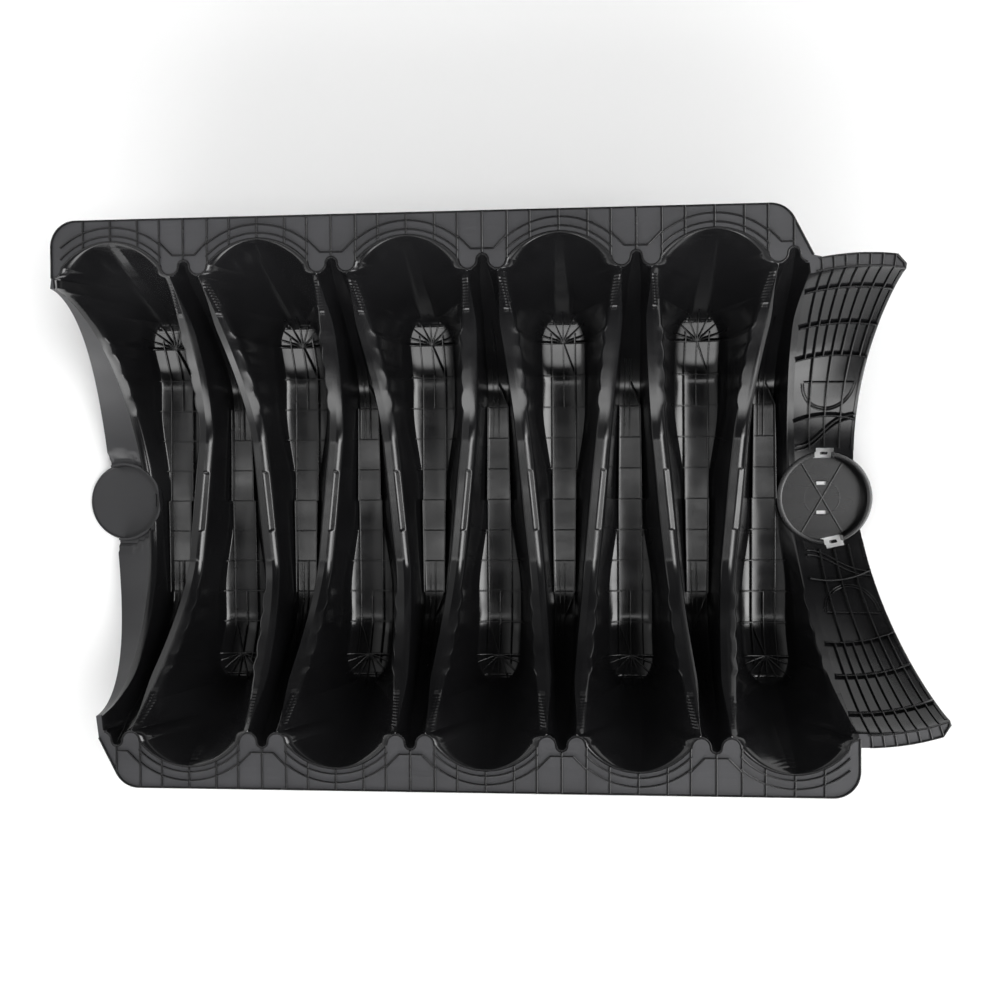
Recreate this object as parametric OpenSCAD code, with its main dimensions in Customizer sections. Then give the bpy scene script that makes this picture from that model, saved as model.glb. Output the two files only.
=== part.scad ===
// Drain-field leaching chamber, lying on its crown with the open side up.
// X runs along the row of chambers, Y across the trench, Z out of the open side.
// Depths are measured down from the top of the flange plates.

/* [Overall] */
// Width across the two base flanges
chamber_w = 864; // [700:2:1050]
// Height from the crown to the flange ribs
chamber_h = 305; // [240:1:380]
// Laying length, from the pivot post to the pivot socket
laying_len = 1219; // [1000:1:1500]

/* [Walls and ribs] */
// Wall thickness of the moulding
wall = 4; // [3:0.5:6]
// Thickness of every rib
rib_t = 2.5; // [1.5:0.5:4]
// Height of the ribs on the flange plates
flange_rib_h = 3; // [2:0.5:5]
// Height of the ribs inside the crowns
crown_rib_h = 6; // [3:1:10]
// Height of the ribs in the overlap flange
overlap_rib_h = 8; // [4:1:12]

/* [Base flanges] */
// Plate width outside a wide arch
flange_w = 35; // [28:1:50]
// Length of the tabs beside each arch
tab_len = 52; // [40:1:70]
// Distance from a narrow end's centre line to the middle of a tab
tab_off = 22; // [18:1:28]
// Radius of a tab's tip
tab_r = 15; // [10:1:17]
// Radius of the outer corners
corner_r = 40; // [20:1:60]

/* [Corrugations] */
// Distance from a pivot to the nearest corrugation's centre line
end_pitch = 100; // [90:1:130]
// Depth of the corrugations, from crown to ridge
corrugation_d = 76; // [50:1:100]
// Width of the ridges between corrugations
ridge_w = 20; // [12:1:26]
// Width of a crown's flat at the wide end
crown_wide_w = 94; // [50:1:110]
// Width of a crown's flat at the narrow end
crown_narrow_w = 34; // [20:1:44]
// Spacing of the ribs across a crown
crown_rib_pitch = 53; // [40:1:70]

/* [Post end] */
// Radius of the pivot post
post_r = 68.5; // [50:0.5:82]
// How much lower than the crown the post's top lies
post_drop = 8; // [6:1:12]
// How much lower than the crown the end band lies
band_drop = 30; // [24:1:40]
// How far the end band reaches past the post's axis
band_over = 18; // [10:1:30]
// Width of the end band at its feet
band_foot_w = 6; // [4:1:20]

/* [Socket end] */
// Clearance between a socket and the next chamber's post
pivot_gap = 2; // [1:0.5:4]
// Width of the socket's collar
collar_w = 9; // [6:0.5:12]
// Height of the socket's collar
collar_h = 27; // [20:1:29]
// How far the overlap flange reaches past the socket's axis
overlap_reach = 52; // [35:1:70]
// How much lower than the crown the overlap flange lies
overlap_drop = 13; // [8:1:20]
// How far the overlap flange's edge is set back between its corners
overlap_bow = 42; // [30:1:60]
// Width of the overlap flange's feet
foot_w = 20; // [12:1:30]
// Chamfer at the outer corner of each foot
foot_chamfer = 12; // [6:1:16]

/* [Hidden] */

shell_colour = [0.10, 0.10, 0.10];
flange_colour = [0.22, 0.22, 0.23];
rib_colour = [0.16, 0.16, 0.17];

count = 10;
pitch = (laying_len - 2 * end_pitch) / (count - 1);
plate_z = chamber_h - flange_rib_h;
crown_d = plate_z - wall;
ridge_d = crown_d - corrugation_d;
half_w = chamber_w / 2;
arch_y = half_w - flange_w;
tab_y = arch_y - tab_len;
tab_root_y = tab_y + tab_r;
notch_r = tab_off - tab_r;
notch_y = tab_root_y + notch_r;
lean = pitch / 2 - tab_off;
pivot_x = laying_len / 2;

// The wide arch in the plate is one circle through its crest and the roots of the tabs.
arch_half = pitch - tab_off - tab_r;
arch_rise = tab_len - tab_r;
arch_r = (pow(arch_half, 2) + pow(arch_rise, 2)) / (2 * arch_rise);

// Lengthwise profiles of a corrugation: flat, then a power curve down to the flange.
crown_flat_wide = arch_y - 182;
crown_flat_narrow = notch_y - 205;
ridge_flat = tab_y - 245;
crown_power_wide = 2;
crown_power_narrow = 1.8;
ridge_power = 1.6;
crown_taper_from = -crown_flat_narrow;
crown_taper_to = crown_flat_wide - 56;
crown_round_from = arch_y - 131;
band_power = 0.6;
overlap_power = 0.75;

// The end band and the overlap flange are domes around their pivots, each cut by a bowed edge.
band_d = crown_d - band_drop;
band_r = tab_y - 15;
band_bow = (end_pitch - pitch / 2 + band_over - band_foot_w) * pow(tab_y / band_r, 2);
overlap_d = crown_d - overlap_drop;
overlap_r = tab_y - 7;
foot_r = overlap_r + foot_w;
band_edge_x = -pivot_x - band_over;
overlap_edge_x = pivot_x + overlap_reach;

socket_r = post_r + pivot_gap;
collar_r = socket_r + collar_w;
post_step = 22;
cross_rib_places = [0.40, 0.68, 0.81, 0.94];
arc_rib_gaps = [2.5, 11, 24];
slot_size = [18, 6];
slot_y = 25;
floor_rib_h = 1.5;
window_w = 33;
window_in = 3;
window_out = 4;
window_angles = [90, -78];
hook_size = [4.5, 10, 14];

foot_corner = dome_point(overlap_edge_x, pivot_x, foot_r - foot_chamfer, -1);
centre_shift = (pivot_x + post_r - foot_corner[0]) / 2;

eps = 0.01;
step = 1.5;
max_steep = 4;
end_strip = 0.3;
strip_fade = 60;
middle_rows = 17;
dome_rows = 10;
dome_columns = 6;
long_rib_steps = 5;
long_rib_gap = 9;

module placed() translate([centre_shift, 0, 0]) children();

// ---- plan of a corrugation: u across, v along, v positive at the wide end ----

function centre_x(k) = (k - (count + 1) / 2) * pitch;
function side_of(k) = k % 2 == 1 ? 1 : -1;
function ridge_x(k, y) = centre_x(k) + pitch / 2 + lean * side_of(k) * clamp(y / tab_y, -1, 1);
function clamp(a, low, high) = min(high, max(low, a));

// Rows of an end as [distance from the middle, half width], from the tab's tip to the apex.
function wide_rows() = concat(
    [for (a = [90, 45, 0]) [tab_root_y - tab_r * sin(a), pitch - tab_off - tab_r * cos(a)]],
    [for (i = [1:4]) let (a = asin(arch_half / arch_r) * (1 - i / 4))
        [arch_y - arch_r + arch_r * cos(a), arch_r * sin(a)]]);
function narrow_rows() = concat(
    [for (a = [90, 45, 0]) [tab_root_y - tab_r * sin(a), tab_off - tab_r * cos(a)]],
    [for (a = [45, 90]) [tab_root_y + notch_r * sin(a), notch_r * cos(a)]]);

function reversed(list) = [for (i = [len(list) - 1:-1:0]) list[i]];
function without_last(list) = [for (i = [0:len(list) - 2]) list[i]];
function middle() = [for (i = [1:middle_rows]) let (v = tab_y * sin(180 * i / (middle_rows + 1) - 90))
    [v, pitch / 2 + lean * v / tab_y]];
function rows() = concat(
    [for (r = reversed(narrow_rows())) [-r[0], r[1]]],
    middle(),
    wide_rows());

// Half width of the opening at any v, for the depth function.
function half_width(v) =
    abs(v) <= tab_y ? pitch / 2 + lean * v / tab_y :
    v > tab_root_y ? sqrt(max(0, pow(arch_r, 2) - pow(v - arch_y + arch_r, 2))) :
    v > 0 ? pitch - tab_off - tab_side(v) :
    v < -tab_root_y ? sqrt(max(0, pow(notch_r, 2) - pow(v + tab_root_y, 2))) :
    tab_off - tab_side(-v);
function tab_side(v) = sqrt(max(0, pow(tab_r, 2) - pow(tab_root_y - v, 2)));

function strip(v) = max(end_strip, ridge_w / 2 * clamp((tab_y - abs(v)) / strip_fade, 0, 1));
function wall_foot(v) = max(0, half_width(v) - strip(v));
function crown_half(v) = min(0.8 * wall_foot(v),
    v < crown_taper_from ? crown_narrow_w / 2 * round_off(-v, crown_flat_narrow, notch_y) :
    v > crown_round_from ? crown_wide_w / 2 * round_off(v, crown_round_from, arch_y) :
    let (t = clamp((v - crown_taper_from) / (crown_taper_to - crown_taper_from), 0, 1))
    (crown_narrow_w * (1 - t) + crown_wide_w * t) / 2);
function round_off(a, from, to) = sqrt(max(0, 1 - pow((a - from) / (to - from), 2)));

// ---- depth of the inside surface ----

function fall(a, flat, end, power) = 1 - pow(clamp((a - flat) / (end - flat), 0, 1), power);
function crown_depth(v) = crown_d * (v > 0
    ? fall(v, crown_flat_wide, arch_y, crown_power_wide)
    : fall(-v, crown_flat_narrow, notch_y, crown_power_narrow));
function ridge_depth(v) = ridge_d * fall(abs(v), ridge_flat, tab_y, ridge_power);
function dome_depth(x, y, axis_x, top, radius, power) =
    top * pow(max(0, 1 - (pow(x - axis_x, 2) + pow(y, 2)) / pow(radius, 2)), power);
function band_depth(x, y) = dome_depth(x, y, -pivot_x, band_d, band_r, band_power);
function overlap_depth(x, y) = dome_depth(x, y, pivot_x, overlap_d, overlap_r, overlap_power);

// The first and last corrugations rise from the end domes instead of from a ridge.
function side_depth(k, x, v, y) =
    k == 1 && x < centre_x(1) ? band_depth(x, y) :
    k == count && x > centre_x(count) ? overlap_depth(x, y) :
    ridge_depth(v);

function depth(k, x, y) =
    let (v = y * side_of(k), a = abs(x - centre_x(k)), c = crown_half(v), w = wall_foot(v),
         t = w > c ? clamp((a - c) / (w - c), 0, 1) : 1,
         side = side_depth(k, x, v, y))
    side + (max(side, crown_depth(v)) - side) * (1 - t * t * (3 - 2 * t));

function end_depth(k, x, y) = k == 0 ? band_depth(x, y) : overlap_depth(x, y);
function any_depth(k, x, y) = k >= 1 && k <= count ? depth(k, x, y) : end_depth(k, x, y);

// Height of the wall measured straight down, so that it is one wall thick square to the surface.
function drop(k, x, y) =
    let (gx = (any_depth(k, x + step, y) - any_depth(k, x - step, y)) / (2 * step),
         gy = (any_depth(k, x, y + step) - any_depth(k, x, y - step)) / (2 * step))
    wall * min(max_steep, sqrt(1 + gx * gx + gy * gy));

// ---- slab between an inside surface and its outside ----

function distinct(t) = t[0] != t[1] && t[1] != t[2] && t[0] != t[2];
function flat(lists) = [for (l = lists) for (item = l) item];

// grid is a list of rows of [x, y]; a row whose points all meet is an apex.
module slab(k, grid) {
    m = len(grid);
    n = len(grid[0]);
    total = m * n;
    apex = [for (r = grid) norm(r[0] - r[n - 1]) < eps];
    function id(i, j, low) = i * n + (apex[i] ? 0 : j) + low * total;
    tops = flat([for (r = grid) [for (p = r) [p[0], p[1], plate_z - any_depth(k, p[0], p[1])]]]);
    lows = flat([for (r = grid) [for (p = r)
        [p[0], p[1], max(0, plate_z - any_depth(k, p[0], p[1]) - drop(k, p[0], p[1]))]]]);
    cells = flat([for (i = [0:m - 2]) flat([for (j = [0:n - 2]) [
        [id(i, j, 0), id(i + 1, j, 0), id(i + 1, j + 1, 0)],
        [id(i, j, 0), id(i + 1, j + 1, 0), id(i, j + 1, 0)],
        [id(i, j, 1), id(i + 1, j + 1, 1), id(i + 1, j, 1)],
        [id(i, j, 1), id(i, j + 1, 1), id(i + 1, j + 1, 1)]]])]);
    long_sides = flat([for (i = [0:m - 2]) [
        [id(i, 0, 0), id(i, 0, 1), id(i + 1, 0, 1)],
        [id(i, 0, 0), id(i + 1, 0, 1), id(i + 1, 0, 0)],
        [id(i, n - 1, 0), id(i + 1, n - 1, 1), id(i, n - 1, 1)],
        [id(i, n - 1, 0), id(i + 1, n - 1, 0), id(i + 1, n - 1, 1)]]]);
    short_sides = flat([for (j = [0:n - 2]) [
        [id(0, j, 0), id(0, j + 1, 1), id(0, j, 1)],
        [id(0, j, 0), id(0, j + 1, 0), id(0, j + 1, 1)],
        [id(m - 1, j, 0), id(m - 1, j, 1), id(m - 1, j + 1, 1)],
        [id(m - 1, j, 0), id(m - 1, j + 1, 1), id(m - 1, j + 1, 0)]]]);
    polyhedron(concat(tops, lows), [for (t = concat(cells, long_sides, short_sides)) if (distinct(t)) t]);
}

function corrugation_grid(k) = [for (r = rows())
    let (v = r[0], c = crown_half(v), w = wall_foot(v),
         half = concat([for (t = [0:0.25:1]) c + t * (w - c)], r[1]))
    [for (u = concat([for (h = reversed(half)) -h], half))
        [centre_x(k) + u, v * side_of(k)]]];

module corrugation(k) placed() color(shell_colour)
    difference() {
        slab(k, turned(corrugation_grid(k), side_of(k) < 0));
        if (k == 1) post_space();
        if (k == count) socket_space();
    }

module post_space() translate([-pivot_x, 0, -1]) cylinder(r = post_r, h = chamber_h, $fn = 96);

module socket_space() {
    translate([pivot_x, 0, -1]) cylinder(r = collar_r, h = chamber_h, $fn = 96);
    windows();
}

module windows() for (a = window_angles)
    translate([pivot_x, 0, 0]) rotate(a) translate([socket_r + window_in, -window_w / 2, -1])
        cube([collar_w - window_in + window_out, window_w, chamber_h]);

// ---- ribs inside the crowns ----

module crown_ribs(k) placed() color(rib_colour) {
    low = -floor(crown_flat_narrow / crown_rib_pitch) * crown_rib_pitch;
    high = floor(crown_flat_wide / crown_rib_pitch) * crown_rib_pitch;
    difference() {
        translate([centre_x(k), 0, wall]) rotate(side_of(k) > 0 ? 0 : 180) {
            for (v = [low:crown_rib_pitch:high])
                translate([-crown_half(v), v - rib_t / 2, 0])
                    cube([2 * crown_half(v), rib_t, crown_rib_h]);
            translate([-rib_t / 2, low, 0]) cube([rib_t, high - low, crown_rib_h]);
        }
        if (k == 1) post_space();
        if (k == count) socket_space();
    }
}

// ---- end domes ----

// Right-hand edge of a dome that ends at edge_x: slanted like the ridges, and bowed.
function edge_line(edge_x, y) = edge_x - lean * y / tab_y
    + (edge_x < 0 ? band_bow : overlap_bow) * pow(y / tab_y, 2);

// Where a line across the chamber meets a circle around a pivot, found by repeated substitution.
function dome_point(edge_x, axis_x, radius, side, y = 0, n = 12) =
    let (yy = n == 12 ? side * radius : y, x = edge_line(edge_x, yy))
    n == 0 ? [x, yy] : dome_point(edge_x, axis_x, radius, side,
        side * sqrt(max(0, pow(radius, 2) - pow(x - axis_x, 2))), n - 1);
function ridge_point(k, axis_x, radius, side, y = 0, n = 12) =
    let (yy = n == 12 ? side * radius : y, x = ridge_x(k, yy))
    n == 0 ? [x, yy] : ridge_point(k, axis_x, radius, side,
        side * sqrt(max(0, pow(radius, 2) - pow(x - axis_x, 2))), n - 1);

// Half of a dome, from the pivot's level to its foot on one side.
function dome_grid(k, edge_x, axis_x, radius, side) =
    let (a = ridge_point(k, axis_x, radius, side), b = dome_point(edge_x, axis_x, radius, side))
    [for (i = [0:dome_rows]) [for (j = [0:dome_columns])
        let (t = j / dome_columns, foot_x = a[0] + (b[0] - a[0]) * t,
             y = side * sqrt(pow(radius, 2) - pow(foot_x - axis_x, 2)) * sin(90 * i / dome_rows),
             x = i == dome_rows ? foot_x : ridge_x(k, y) * (1 - t) + edge_line(edge_x, y) * t)
        [x, y]]];

function turned(grid, turn) = turn ? [for (r = grid) reversed(r)] : grid;

module end_band(side) placed() color(flange_colour)
    difference() {
        slab(0, turned(dome_grid(0, band_edge_x, -pivot_x, band_r, side), side > 0));
        post_space();
    }

module overlap_shell(side) placed() color(shell_colour)
    difference() {
        slab(count + 1, turned(dome_grid(count, overlap_edge_x, pivot_x, overlap_r, side), side < 0));
        socket_space();
    }

// ---- pivot post ----

module pivot_post() placed() color(flange_colour)
    translate([-pivot_x, 0, post_drop]) cylinder(r = post_r, h = wall, $fn = 96);

// The wall rises from the post's top to the end band, and drops to the crown of the first corrugation.
module post_wall() placed() color(flange_colour)
    intersection() {
        translate([-pivot_x, 0, 0]) difference() {
            cylinder(r = post_r, h = chamber_h, $fn = 96);
            translate([0, 0, -1]) cylinder(r = post_r - wall, h = chamber_h + 2, $fn = 96);
            translate([0, 0, post_drop]) cylinder(r = post_r + 1, h = wall, $fn = 96);
        }
        difference() {
            linear_extrude(plate_z - band_d) polygon(concat(post_edge(), [for (s = [1, -1])
                [ridge_x(0, s * post_r) + post_step, s * (post_r + eps)]]));
            translate([-laying_len, -half_w, -1]) cube([laying_len - pivot_x, chamber_w, 1 + post_drop]);
        }
    }
function post_edge() = [for (i = [-8:8]) let (y = i * (post_r + eps) / 8)
    [edge_line(band_edge_x, y), y]];

// ---- pivot socket ----

module socket_collar() placed() color(shell_colour)
    difference() {
        translate([pivot_x, 0, wall]) difference() {
            cylinder(r = collar_r, h = collar_h - wall, $fn = 96);
            translate([0, 0, -1]) cylinder(r = socket_r, h = chamber_h, $fn = 96);
        }
        windows();
    }

// Floor with a shallow round pocket, divided by two crossed ribs that end flush with it.
module socket_floor() placed() color(rib_colour)
    difference() {
        translate([pivot_x, 0, 0]) difference() {
            cylinder(r = collar_r, h = wall, $fn = 96);
            translate([0, 0, wall - floor_rib_h]) difference() {
                cylinder(r = socket_r - wall, h = wall, $fn = 96);
                for (a = [60, 120]) rotate(a) translate([-socket_r, -rib_t / 2, -1])
                    cube([2 * socket_r, rib_t, chamber_h]);
            }
        }
        for (s = [-1, 1])
            translate([pivot_x - slot_size[0] / 2, s * slot_y - slot_size[1] / 2, -1])
                cube([slot_size[0], slot_size[1], chamber_h]);
        windows();
    }

module snap_hook(i) placed() color(rib_colour)
    translate([pivot_x, 0, 0]) rotate(window_angles[i])
        translate([socket_r + window_in, -hook_size[1] / 2, collar_h - hook_size[2]])
            cube(hook_size);

// ---- overlap flange ----

module overlap_ribs(side) placed() color(rib_colour) {
    for (f = cross_rib_places) cross_rib(f * overlap_r, side);
    for (j = [1:7]) long_rib(j / 8, cross_rib_places[j % 2 == 0 ? 0 : 1], side);
}

// Arc of a rib that follows a circle around the socket, from the ridge to the outer edge.
module cross_rib(radius, side) {
    a = ridge_point(count, pivot_x, radius, side) - [pivot_x, 0];
    b = dome_point(overlap_edge_x, pivot_x, radius, side) - [pivot_x, 0];
    from = atan2(a[1], a[0]);
    to = atan2(b[1], b[0]);
    translate([0, 0, plate_z - overlap_depth(pivot_x + radius, 0)])
        linear_extrude(overlap_rib_h) polygon(arc_band([pivot_x, 0], radius, from, to, 6));
}

// Rib that runs from the crown of the overlap flange down towards its foot, lower than the cross ribs.
module long_rib(t, start, side) {
    a = along(t, start * overlap_r + rib_t / 4, side);
    b = along(t, overlap_r - long_rib_gap, side);
    length = norm(b - a);
    points = [for (i = [0:long_rib_steps]) let (p = a + (b - a) * i / long_rib_steps)
        [length * i / long_rib_steps, plate_z - overlap_depth(p[0], p[1])]];
    translate([a[0], a[1], 0]) rotate(atan2(b[1] - a[1], b[0] - a[0]))
        translate([0, rib_t / 2, 0]) rotate([90, 0, 0]) linear_extrude(rib_t)
            polygon(concat(points, [for (p = reversed(points)) p + [0, overlap_rib_h * 0.6]]));
}

function along(t, radius, side) =
    let (p = ridge_point(count, pivot_x, radius, side), q = dome_point(overlap_edge_x, pivot_x, radius, side),
         x = p[0] + (q[0] - p[0]) * t)
    [x, side * sqrt(pow(radius, 2) - pow(x - pivot_x, 2))];

module overlap_foot(side) placed() color(flange_colour)
    translate([0, 0, plate_z - wall]) linear_extrude(wall) polygon(foot_outline(side));

function arc_between(p, q, axis_x, radius, n) =
    let (a = atan2(p[1], p[0] - axis_x), b = atan2(q[1], q[0] - axis_x))
    [for (i = [0:n]) let (c = a + (b - a) * i / n) [axis_x + radius * cos(c), radius * sin(c)]];

function foot_outline(side) =
    let (inner_a = ridge_point(count, pivot_x, overlap_r, side),
         inner_b = dome_point(overlap_edge_x, pivot_x, overlap_r, side),
         corner = dome_point(overlap_edge_x, pivot_x, foot_r - foot_chamfer, side),
         outer_b = [corner[0] - foot_chamfer, foot_y(corner[0] - foot_chamfer, side)],
         start = side > 0 ? end_start : -flange_start,
         outer_x = start[0] + (side > 0 ? foot_chamfer : 1),
         outer_a = [outer_x, foot_y(outer_x, side)])
    concat(arc_between(inner_a, inner_b, pivot_x, overlap_r, 8), [corner],
        arc_between(outer_b, outer_a, pivot_x, foot_r, 8),
        [start, [ridge_x(count, side * tab_y), side * tab_y]]);
function foot_y(x, side) = side * sqrt(pow(foot_r, 2) - pow(x - pivot_x, 2));

// ---- base flanges ----

flange_start = [centre_x(1) - (pitch - tab_off) - 2.5, tab_y];
end_start = [centre_x(count) + tab_off + 6.5, tab_y + 11];
end_angle = 27;
end_centre = let (y = half_w - corner_r, c = [cos(end_angle), sin(end_angle)], touch_y = y + corner_r * c[1])
    [end_start[0] - (touch_y - end_start[1]) * tan(end_angle) - corner_r * c[0], y];

function end_contour(k) = let (rows = k % 2 == 1 ? wide_rows() : narrow_rows()) concat(
    [for (r = rows) [centre_x(k) - r[1], r[0]]],
    [for (r = reversed(without_last(rows))) [centre_x(k) + r[1], r[0]]]);
function arc(centre, radius, a, b, n) =
    [for (i = [0:n]) let (c = a + (b - a) * i / n) centre + radius * [cos(c), sin(c)]];
function arc_band(centre, radius, a, b, n) = concat(
    arc(centre, radius + rib_t / 2, a, b, n),
    reversed(arc(centre, radius - rib_t / 2, a, b, n)));

// Outer edge of a plate, inset by a margin, from the socket end round to the post end.
function outer_edge(margin) = concat(
    arc(end_centre, corner_r - margin, end_angle, 90, 6),
    arc([flange_start[0] + corner_r, half_w - corner_r], corner_r - margin, 90, 180, 8));

module base_flange_shape() polygon(concat(
    flat([for (k = [1:count]) without_last(end_contour(k))]),
    [[centre_x(count) + tab_off, tab_y], end_start],
    outer_edge(0),
    [flange_start]));

module base_flange(turn) placed() color(flange_colour)
    rotate(turn) translate([0, 0, plate_z - wall]) linear_extrude(wall) base_flange_shape();

module flange_ribs(turn) placed() color(rib_colour)
    rotate(turn) translate([0, 0, plate_z]) {
        linear_extrude(flange_rib_h) polygon(concat([end_start], outer_edge(0), [flange_start,
            flange_start + [rib_t, 0]], reversed(outer_edge(rib_t)), [end_start - [rib_t, 0]]));
        for (k = [1:count]) {
            if (k % 2 == 1) arch_ribs(centre_x(k));
            else gap_ribs(centre_x(k), k < count);
        }
    }

function arch_at(u) = arch_y - arch_r + sqrt(pow(arch_r, 2) - pow(u, 2));

function outer_y(x) = x < end_centre[0] ? half_w :
    end_centre[1] + sqrt(pow(corner_r, 2) - pow(x - end_centre[0], 2));

module y_rib(x, from) translate([x - rib_t / 2, from, 0])
    cube([rib_t, outer_y(x) - rib_t / 2 - from, flange_rib_h]);

module arch_ribs(x) {
    for (u = [-0.56, 0, 0.56]) y_rib(x + u * arch_half, arch_at(u * arch_half) + arc_rib_gaps[0]);
    for (gap = arc_rib_gaps) {
        reach = asin(arch_half / (arch_r + gap));
        linear_extrude(flange_rib_h)
            polygon(arc_band([x, arch_y - arch_r], arch_r + gap, 90 - reach, 90 + reach, 16));
    }
}

module gap_ribs(x, whole) {
    side = tab_off + tab_r;
    y_rib(x, notch_y + 1);
    for (s = whole ? [-1, 1] : [-1]) y_rib(x + s * side, tab_root_y + 1);
    translate([x - side * 0.65, notch_y + 8, 0])
        cube([side * (whole ? 1.3 : 0.65), rib_t, flange_rib_h]);
}

module band_foot(side) placed() color(flange_colour)
    translate([0, 0, plate_z - wall]) linear_extrude(wall) polygon([
        ridge_point(0, -pivot_x, band_r, side),
        dome_point(band_edge_x, -pivot_x, band_r, side),
        side > 0 ? flange_start : -end_start,
        [ridge_x(0, side * tab_y), side * tab_y]]);

// ---- nodes ----

base_flange(0);  // base_flange_a
base_flange(180);  // base_flange_b
flange_ribs(0);  // flange_ribs_a
flange_ribs(180);  // flange_ribs_b
for (k = [1:10]) corrugation(k);
for (k = [1:10]) crown_ribs(k);
end_band(1);  // end_band_a
end_band(-1);  // end_band_b
band_foot(1);  // band_foot_a
band_foot(-1);  // band_foot_b
pivot_post();
post_wall();
overlap_shell(1);  // overlap_shell_a
overlap_shell(-1);  // overlap_shell_b
overlap_ribs(1);  // overlap_ribs_a
overlap_ribs(-1);  // overlap_ribs_b
overlap_foot(1);  // overlap_foot_a
overlap_foot(-1);  // overlap_foot_b
socket_collar();
socket_floor();
snap_hook(0);  // snap_hook_a
snap_hook(1);  // snap_hook_b
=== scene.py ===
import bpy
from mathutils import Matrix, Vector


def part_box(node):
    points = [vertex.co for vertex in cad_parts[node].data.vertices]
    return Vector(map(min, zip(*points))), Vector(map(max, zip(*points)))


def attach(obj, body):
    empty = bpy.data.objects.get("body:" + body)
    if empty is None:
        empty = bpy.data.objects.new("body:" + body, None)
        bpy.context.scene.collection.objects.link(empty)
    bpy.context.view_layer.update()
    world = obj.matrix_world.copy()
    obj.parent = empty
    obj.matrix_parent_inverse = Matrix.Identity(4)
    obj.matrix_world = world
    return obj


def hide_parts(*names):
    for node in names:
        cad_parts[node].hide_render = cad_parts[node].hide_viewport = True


bl_info = {
    "name": "Leaching Chamber",
    "version": (1, 0, 0),
    "blender": (4, 5, 0),
    "location": "View3D > Sidebar > Chamber",
    "description": "Builds the skins, ribs, finishes and stage of a drain-field leaching chamber",
    "category": "Add Mesh",
}

import math

import bmesh
import bpy
import numpy as np
from bpy.props import FloatProperty, FloatVectorProperty, IntProperty, PointerProperty
from bpy.types import Operator, Panel, PropertyGroup
from mathutils import Matrix, Vector

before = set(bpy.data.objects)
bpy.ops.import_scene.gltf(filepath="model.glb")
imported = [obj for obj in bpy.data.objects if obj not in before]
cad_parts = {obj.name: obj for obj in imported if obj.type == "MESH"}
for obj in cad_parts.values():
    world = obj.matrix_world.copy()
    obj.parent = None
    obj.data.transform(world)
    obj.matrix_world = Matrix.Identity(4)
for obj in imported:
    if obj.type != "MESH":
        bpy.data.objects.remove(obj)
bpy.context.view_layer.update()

MM = 0.001

# ---- measures taken from the frame, in millimetres ----


def box(node):
    """Lowest and highest corner of a CAD node."""
    low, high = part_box(node)
    return np.array(low) / MM, np.array(high) / MM


def middle(node):
    low, high = box(node)
    return (low + high) / 2


COUNT = sum(name.startswith("corrugation_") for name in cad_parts)
CENTRES = [middle(f"corrugation_{k}")[0] for k in range(1, COUNT + 1)]
PITCH = (CENTRES[-1] - CENTRES[0]) / (COUNT - 1)
MIDDLE_X = (CENTRES[0] + CENTRES[-1]) / 2

PLATE_LOW, PLATE_HIGH = box("base_flange_a")
PLATE_Z = PLATE_HIGH[2]
WALL = PLATE_HIGH[2] - PLATE_LOW[2]
HALF_WIDTH = PLATE_HIGH[1]
TAB_Y = PLATE_LOW[1]
RIB_TOP = box("flange_ribs_a")[1][2]
ARCH_Y = box("corrugation_1")[1][1]
NOTCH_Y = -box("corrugation_1")[0][1]

POST_X = middle("pivot_post")[0]
POST_R = (box("pivot_post")[1][0] - box("pivot_post")[0][0]) / 2
POST_TOP = box("pivot_post")[1][2]
SOCKET_X = middle("socket_floor")[0]
COLLAR_R = (box("socket_floor")[1][0] - box("socket_floor")[0][0]) / 2
SOCKET_R = COLLAR_R - 9
COLLAR_TOP = box("socket_collar")[1][2]
BAND_R = box("end_band_a")[1][1]
BAND_DEPTH = (PLATE_Z - WALL - box("end_band_a")[0][2]) / (1 - (POST_R / BAND_R) ** 2) ** 0.6

# ---- places of the outer edges and a few other sizes; some are offsets from the measures above, the rest are given numbers ----

BAND_EDGE = POST_X - 18
BAND_BOW = 60.5
OVERLAP_EDGE = SOCKET_X + 52
OVERLAP_BOW = 42
OVERLAP_R = TAB_Y - 7
FOOT_R = OVERLAP_R + 20
CORNER_R = 40
END_ANGLE = 27
FLOOR_RIB = 2.5
STEEP_FROM = 290

# Turn in radians and offset in millimetres of the camera from the middle of the flanges' level.
CAMERA_TURN = (0.0183, 0.0788, -0.0053)
CAMERA_OFFSET = (-80.3454, 4.7953, 1644.91)


# ---- sizes and colours that a user may change ----

def length(name, description, value, low=0.0001, high=1.0):
    return FloatProperty(name=name, description=description, default=value, min=low, max=high,
                         unit="LENGTH", precision=4)


def colour(name, description, value):
    return FloatVectorProperty(name=name, description=description, default=value, size=4,
                               subtype="COLOR", min=0.0, max=1.0)


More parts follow.
